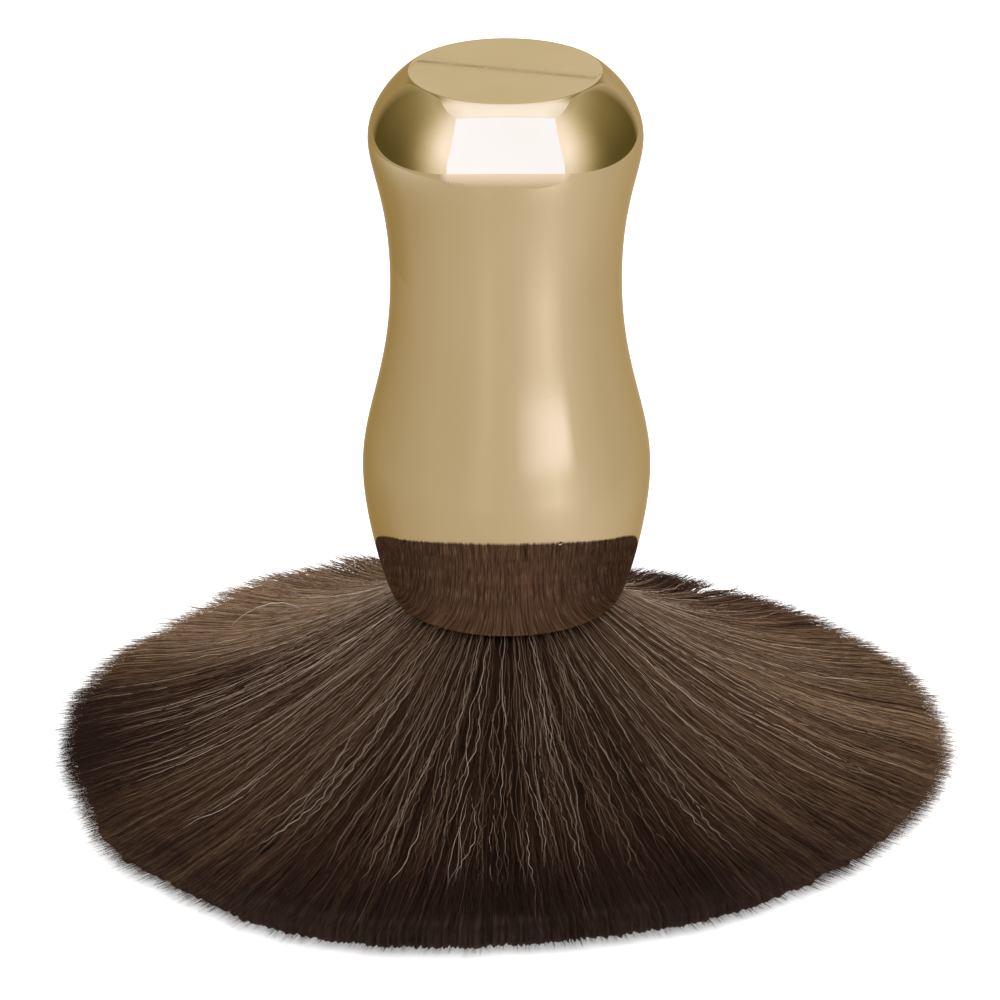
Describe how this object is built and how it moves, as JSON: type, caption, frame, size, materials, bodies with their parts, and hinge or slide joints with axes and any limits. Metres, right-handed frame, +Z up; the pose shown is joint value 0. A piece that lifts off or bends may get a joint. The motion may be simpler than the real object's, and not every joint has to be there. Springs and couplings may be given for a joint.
{
  "type": "neck duster brush",
  "caption": "Barber's neck duster brush with a short polished gold hourglass handle, standing on soft dark bristles pressed out into a round fan.",
  "frame": {"origin": "on the surface the brush stands on, on the axis of the handle", "axes": "+Z up the axis of the handle, from the bristles to the end flat; +X and +Y are any two directions square to it"},
  "size_m": [0.1516, 0.1516, 0.1243],
  "materials": {
    "gold_shell": "polished",
    "steel_weight": "satin",
    "foam_pad": "matte",
    "abs_core": "satin",
    "ferrule_metal": "satin",
    "epoxy": "gloss",
    "binding_thread": "matte",
    "bristle_fibre": "satin"
  },
  "bodies": {
    "root": {"handle_shell": "gold_shell", "counterweight": "steel_weight", "weight_pad": "foam_pad", "core_insert": "abs_core", "locating_ring": "abs_core", "ferrule_sleeve": "ferrule_metal", "epoxy_plug": "epoxy", "root_binding": "binding_thread", "bristle_root": "bristle_fibre", "bristle_core": "bristle_fibre", "bristle_lock_01": "bristle_fibre", "bristle_lock_02": "bristle_fibre", "bristle_lock_03": "bristle_fibre", "bristle_lock_04": "bristle_fibre", "bristle_lock_05": "bristle_fibre", "bristle_lock_06": "bristle_fibre", "bristle_lock_07": "bristle_fibre", "bristle_lock_08": "bristle_fibre", "bristle_lock_09": "bristle_fibre", "bristle_lock_10": "bristle_fibre", "bristle_lock_11": "bristle_fibre", "bristle_lock_12": "bristle_fibre", "bristle_lock_13": "bristle_fibre", "bristle_lock_14": "bristle_fibre", "bristle_lock_15": "bristle_fibre", "bristle_lock_16": "bristle_fibre"}
  },
  "joints": []
}
